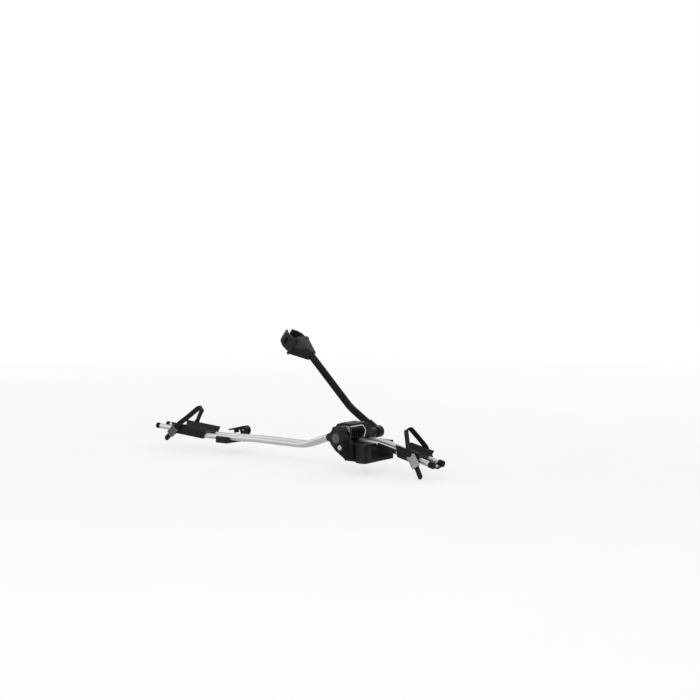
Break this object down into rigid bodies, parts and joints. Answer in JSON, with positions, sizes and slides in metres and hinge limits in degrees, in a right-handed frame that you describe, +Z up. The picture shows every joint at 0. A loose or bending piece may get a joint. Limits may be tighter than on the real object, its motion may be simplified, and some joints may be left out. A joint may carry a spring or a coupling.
{
  "type": "roof bike carrier",
  "caption": "Upright roof carrier for a bicycle: bent rail with strapped wheel holders and a folding frame claw",
  "frame": {"origin": "centre of the base's seat on the front roof bar's top plane", "axes": "+X along the rail towards the front wheel, +Y to the side away from the knob, +Z up"},
  "size_m": [1.4499, 0.2664, 0.5178],
  "materials": {
    "silver_rail": "satin anodised",
    "black_plastic": "fine grain moulded",
    "grey_plastic": "satin moulded",
    "black_tube": "satin powder coat",
    "rubber": "matt",
    "strap": "satin",
    "steel": "zinc plated",
    "bright": "bright",
    "hoop": "brushed",
    "brass": "plain"
  },
  "bodies": {
    "carrier": {"rail": "silver_rail", "front_end_cap": "black_plastic", "rear_end_cap": "black_plastic", "base_pad": "rubber", "base_plate": "steel", "base_foot": "black_plastic", "base_t_bolts": "steel", "base_nuts": "steel", "bridge_housing": "black_plastic", "bridge_hoop": "hoop", "knob_housing": "black_plastic", "shaft_bush": "brass", "pivot_axle": "steel", "axle_ring": "steel", "rear_pad": "rubber", "rear_bracket": "black_plastic", "lever_washer": "steel", "rear_t_bolt": "steel", "clevis_pin": "steel"},
    "knob": {"knob": "black_plastic", "knob_insert": "grey_plastic", "lock_barrel": "bright", "cross_shaft": "steel"},
    "lock_core": {"lock_core": "bright"},
    "arm": {"arm_knuckle": "black_tube", "knuckle_cover": "black_plastic", "arm_tube": "black_tube", "joint_spider": "steel", "claw_body": "black_plastic", "jaw_pins": "steel", "cradle_pad": "rubber"},
    "drive_rod": {"drive_rod": "steel"},
    "spindle": {"spindle": "steel"},
    "draw_nut": {"draw_nut": "brass"},
    "near_jaw": {"near_jaw": "black_plastic", "near_jaw_pad": "rubber"},
    "far_jaw": {"far_jaw": "black_plastic", "far_jaw_pad": "rubber"},
    "front_holder": {"front_wheel_holder": "black_plastic", "front_strap": "strap", "front_buckle": "grey_plastic", "front_lever_pin": "steel", "front_strap_anchor": "steel"},
    "front_buckle_lever": {"front_buckle_lever": "grey_plastic"},
    "rear_holder": {"rear_wheel_holder": "black_plastic", "rear_strap": "strap", "rear_buckle": "grey_plastic", "rear_lever_pin": "steel", "rear_strap_anchor": "steel"},
    "rear_buckle_lever": {"rear_buckle_lever": "grey_plastic"},
    "clamp_lever": {"clamp_lever": "black_plastic"}
  },
  "joints": [
    {"name": "arm_fold", "type": "hinge", "parent": "carrier", "child": "arm", "pos_m": [-0.062, 0, 0.09], "axis": [0, 1, 0], "range_deg": [-45, 20]},
    {"name": "knob_turn", "type": "hinge", "parent": "carrier", "child": "knob", "pos_m": [-0.062, 0, 0.09], "axis": [0, 1, 0], "range_deg": [-1157, 308]},
    {"name": "lock_turn", "type": "hinge", "parent": "knob", "child": "lock_core", "pos_m": [-0.0425, 0, 0.05622], "axis": [0, 1, 0], "range_deg": [0, 90]},
    {"name": "drive_rod_turn", "type": "hinge", "parent": "arm", "child": "drive_rod", "pos_m": [-0.062, 0.107, 0.09], "axis": [-0.853, 0, 0.522], "range_deg": [-310, 1159]},
    {"name": "spindle_turn", "type": "hinge", "parent": "arm", "child": "spindle", "pos_m": [-0.334, 0.035, 0.371], "axis": [-0.5462, -0.285, 0.7877], "range_deg": [-310, 1159]},
    {"name": "draw_nut_slide", "type": "slide", "parent": "arm", "child": "draw_nut", "axis": [-0.5462, -0.285, 0.7877], "range_m": [-0.013, 0.0036]},
    {"name": "near_jaw_swing", "type": "hinge", "parent": "arm", "child": "near_jaw", "pos_m": [-0.37251, -0.033, 0.41016], "axis": [0.6198, 0, 0.7848], "range_deg": [-8.1, 30.1]},
    {"name": "far_jaw_swing", "type": "hinge", "parent": "arm", "child": "far_jaw", "pos_m": [-0.37251, 0.033, 0.41016], "axis": [0.6198, 0, 0.7848], "range_deg": [-30.1, 8.1]},
    {"name": "front_holder_slide", "type": "slide", "parent": "carrier", "child": "front_holder", "axis": [0.9783, 0, -0.2072], "range_m": [-0.04, 0.045]},
    {"name": "front_buckle_release", "type": "hinge", "parent": "front_holder", "child": "front_buckle_lever", "pos_m": [0.22515, -0.06, 0.03545], "axis": [0.8499, 0, 0.5269], "range_deg": [-90, 0]},
    {"name": "rear_holder_slide", "type": "slide", "parent": "carrier", "child": "rear_holder", "axis": [0.998, 0, -0.0636], "range_m": [-0.088, 0]},
    {"name": "rear_buckle_release", "type": "hinge", "parent": "rear_holder", "child": "rear_buckle_lever", "pos_m": [-1.00645, -0.06, 0.03936], "axis": [0.678, 0, -0.735], "range_deg": [-90, 0]},
    {"name": "clamp_lever_swing", "type": "hinge", "parent": "carrier", "child": "clamp_lever", "pos_m": [-0.745, 0.092, 0.04], "axis": [0, 1, 0], "range_deg": [0, 90]}
  ],
  "couplings": [
    {"joint": "drive_rod_turn", "follows": "knob_turn", "ratio": -1},
    {"joint": "spindle_turn", "follows": "knob_turn", "ratio": -1},
    {"joint": "draw_nut_slide", "follows": "knob_turn", "m_per_rad": 0.000637},
    {"joint": "near_jaw_swing", "follows": "knob_turn", "ratio": -0.0259},
    {"joint": "far_jaw_swing", "follows": "knob_turn", "ratio": 0.0259}
  ]
}
